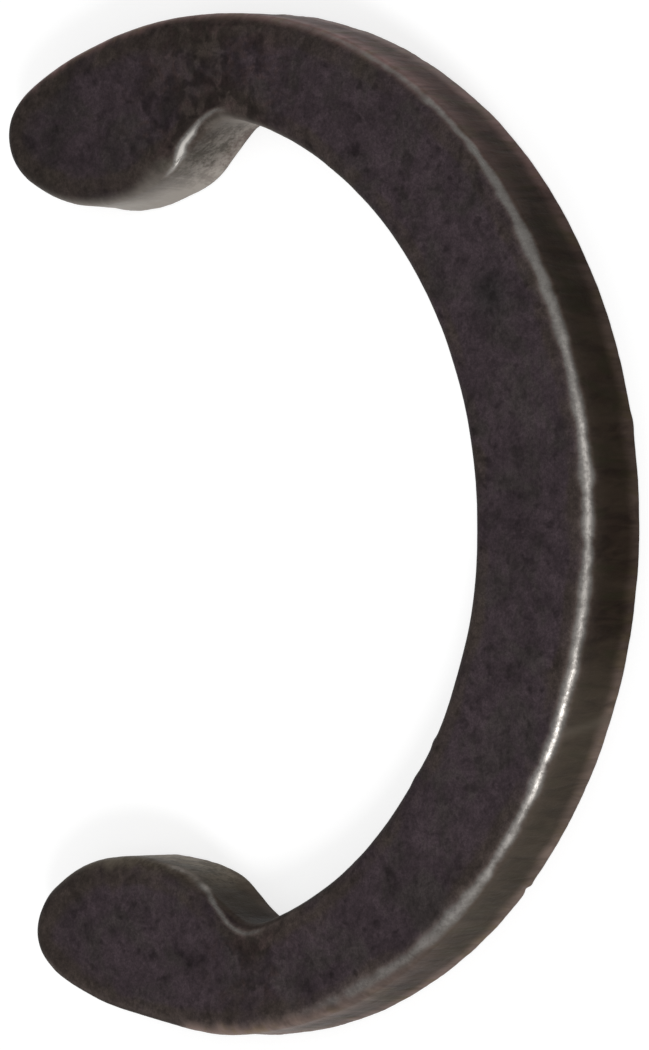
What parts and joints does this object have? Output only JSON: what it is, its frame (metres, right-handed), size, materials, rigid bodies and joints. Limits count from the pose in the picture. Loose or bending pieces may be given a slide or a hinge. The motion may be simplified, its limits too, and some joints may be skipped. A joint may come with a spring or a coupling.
{
  "type": "retaining ring",
  "caption": "Crescent retaining ring: a flat C stamped from spring sheet, with rounded lobes at its open ends that grip a groove on a shaft.",
  "frame": {"origin": "on the shaft's axis, in the plane of the sheared face that the ring lies on", "axes": "+X from the shaft's axis to the back of the C, its mouth opens to -X; +Z along the shaft's axis, out of the face with the rolled edge; XZ is the plane of symmetry"},
  "size_m": [0.0068, 0.0088, 0.0006],
  "materials": {
    "ring": "matt black phosphate on stamped spring steel"
  },
  "bodies": {
    "root": {"ring": "ring"}
  },
  "joints": []
}
